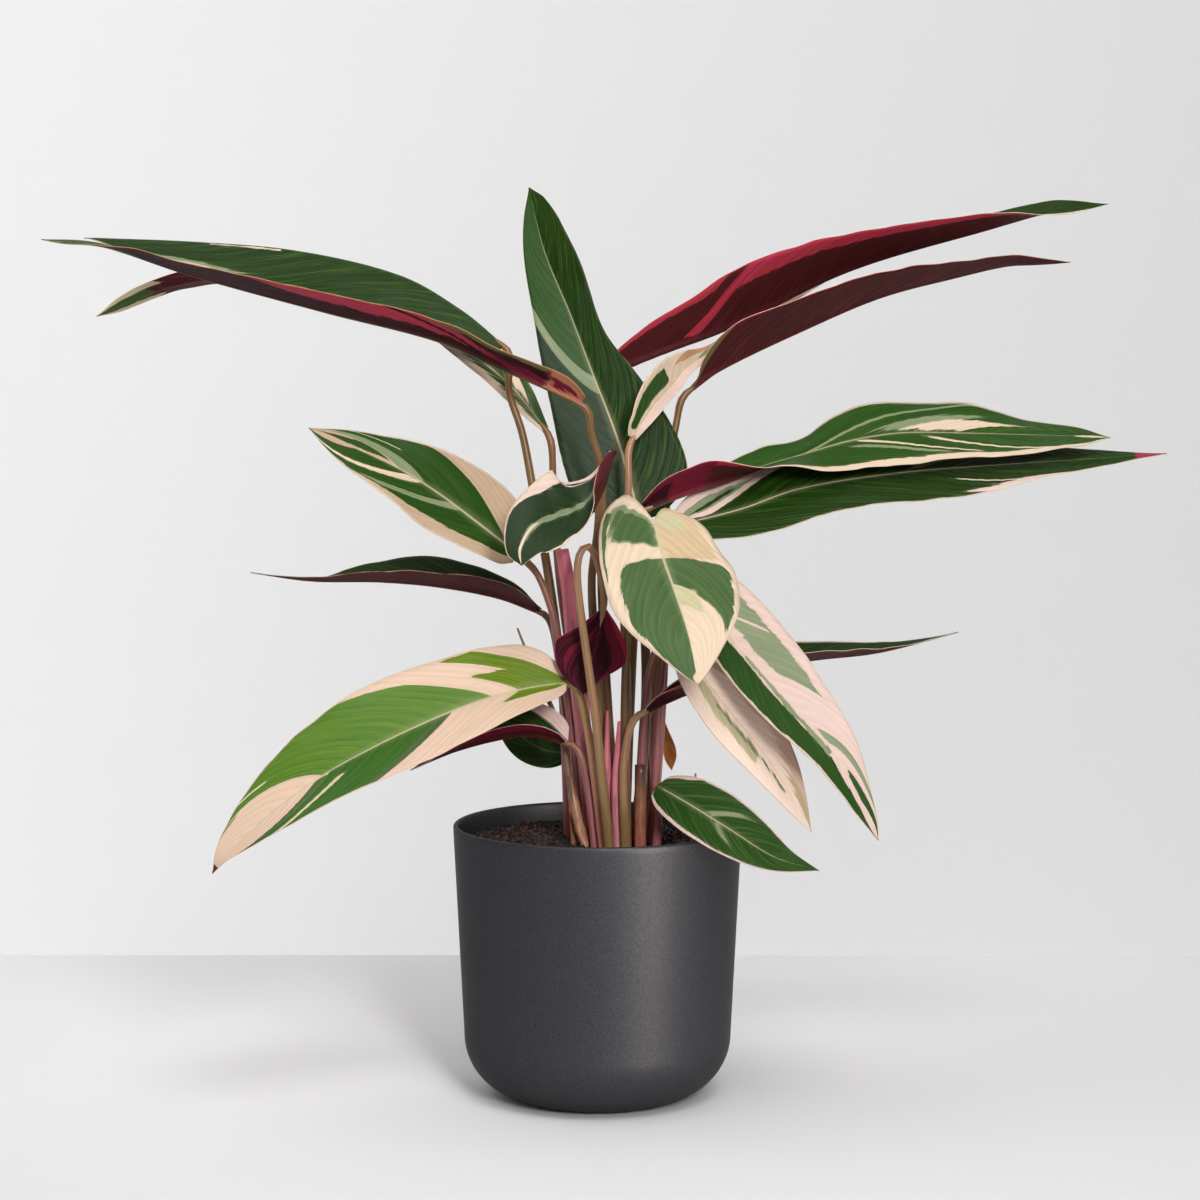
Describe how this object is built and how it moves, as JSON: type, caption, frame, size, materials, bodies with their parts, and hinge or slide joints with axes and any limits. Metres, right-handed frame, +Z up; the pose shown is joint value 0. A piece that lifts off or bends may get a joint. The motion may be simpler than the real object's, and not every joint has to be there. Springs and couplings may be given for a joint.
{
  "type": "potted stromanthe plant",
  "caption": "Stromanthe triostar plant with long variegated leaves on thin stems, standing in soil in a plain round dark plastic pot.",
  "frame": {"origin": "centre of the pot's flat foot, on the floor", "axes": "+X to the right of the plant's show side, +Y to its back, +Z up"},
  "size_m": [0.5752, 0.241, 0.4723],
  "materials": {
    "pot_plastic": "satin moulded plastic, dark grey",
    "soil_peat": "loose moist potting soil, near black brown",
    "leaf_blade": "satin leaf, dark green with cream and pink patches above, maroon below",
    "leaf_dry": "dried brown leaf",
    "leaf_stalk": "satin olive brown stalk",
    "pink_sheath": "satin pink sheath",
    "dry_sheath": "dry papery sheath"
  },
  "bodies": {
    "root": {"pot": "pot_plastic", "soil": "soil_peat", "leaf_01": "leaf_blade", "leaf_02": "leaf_blade", "leaf_03": "leaf_blade", "leaf_04": "leaf_blade", "leaf_05": "leaf_blade", "leaf_06": "leaf_blade", "leaf_07": "leaf_blade", "leaf_08": "leaf_blade", "leaf_09": "leaf_blade", "leaf_10": "leaf_blade", "leaf_11": "leaf_blade", "leaf_12": "leaf_blade", "leaf_13": "leaf_blade", "leaf_14": "leaf_blade", "leaf_15": "leaf_blade", "leaf_16": "leaf_blade", "leaf_17": "leaf_blade", "leaf_18": "leaf_blade", "leaf_19": "leaf_blade", "leaf_20": "leaf_blade", "leaf_21": "leaf_blade", "leaf_22": "leaf_dry", "stem_01": "leaf_stalk", "stem_02": "leaf_stalk", "stem_03": "leaf_stalk", "stem_04": "leaf_stalk", "stem_05": "leaf_stalk", "stem_06": "leaf_stalk", "stem_07": "leaf_stalk", "stem_08": "leaf_stalk", "stem_09": "leaf_stalk", "stem_10": "leaf_stalk", "stem_11": "leaf_stalk", "stem_12": "leaf_stalk", "stem_13": "leaf_stalk", "stem_14": "leaf_stalk", "stem_15": "leaf_stalk", "stem_16": "leaf_stalk", "stem_17": "leaf_stalk", "stem_18": "leaf_stalk", "stem_19": "leaf_stalk", "stem_20": "leaf_stalk", "stem_21": "leaf_stalk", "stem_22": "leaf_dry", "sheath_1": "pink_sheath", "sheath_2": "pink_sheath", "sheath_3": "pink_sheath", "old_sheath": "dry_sheath", "stub": "leaf_stalk", "shoot_1": "leaf_stalk", "shoot_2": "leaf_stalk"}
  },
  "joints": []
}
